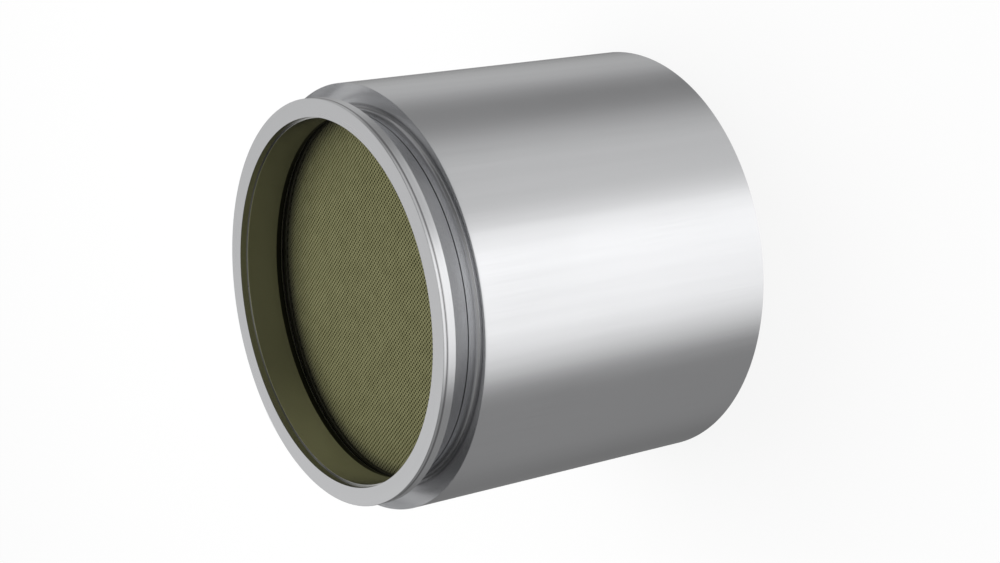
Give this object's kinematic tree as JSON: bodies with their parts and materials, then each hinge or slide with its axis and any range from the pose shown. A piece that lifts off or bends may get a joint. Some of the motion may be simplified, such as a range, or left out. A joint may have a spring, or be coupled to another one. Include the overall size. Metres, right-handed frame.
{
  "type": "diesel particulate filter",
  "caption": "Round insulated steel exhaust canister with an open V-flange inlet, a coved end ring and a honeycomb ceramic filter brick inside.",
  "frame": {"origin": "centre of the outlet end's rim, which is the lowest plane of the part", "axes": "+Z along the canister's axis towards the inlet flange; the part stands on its plain outlet end; +X and +Y are square to the axis, with the rows of open cells turned 32.5 degrees from +X"},
  "size_m": [0.302, 0.302, 0.266],
  "materials": {
    "jacket_steel": "satin, drawn along the length",
    "pressed_steel": "satin pressed sheet",
    "flange_steel": "fine turned",
    "liner_steel": "heat-toned satin",
    "can_steel": "mill",
    "wire_mesh": "knitted wire",
    "filter_ceramic": "matt extruded ceramic",
    "fibre_mat": "matt fibre mat",
    "fibre_blanket": "matt fibre blanket"
  },
  "bodies": {
    "root": {"inlet_seat_ring": "flange_steel", "inlet_v_flange": "flange_steel", "inlet_liner": "liner_steel", "inlet_end_ring": "pressed_steel", "outer_jacket": "jacket_steel", "insulation_blanket": "fibre_blanket", "outlet_insulation": "fibre_blanket", "inner_can": "can_steel", "support_mat": "fibre_mat", "inlet_mesh_seal": "wire_mesh", "outlet_mesh_seal": "wire_mesh", "filter_brick": "filter_ceramic", "can_retainer": "can_steel", "outlet_end_ring": "pressed_steel", "outlet_liner": "liner_steel"}
  },
  "joints": []
}
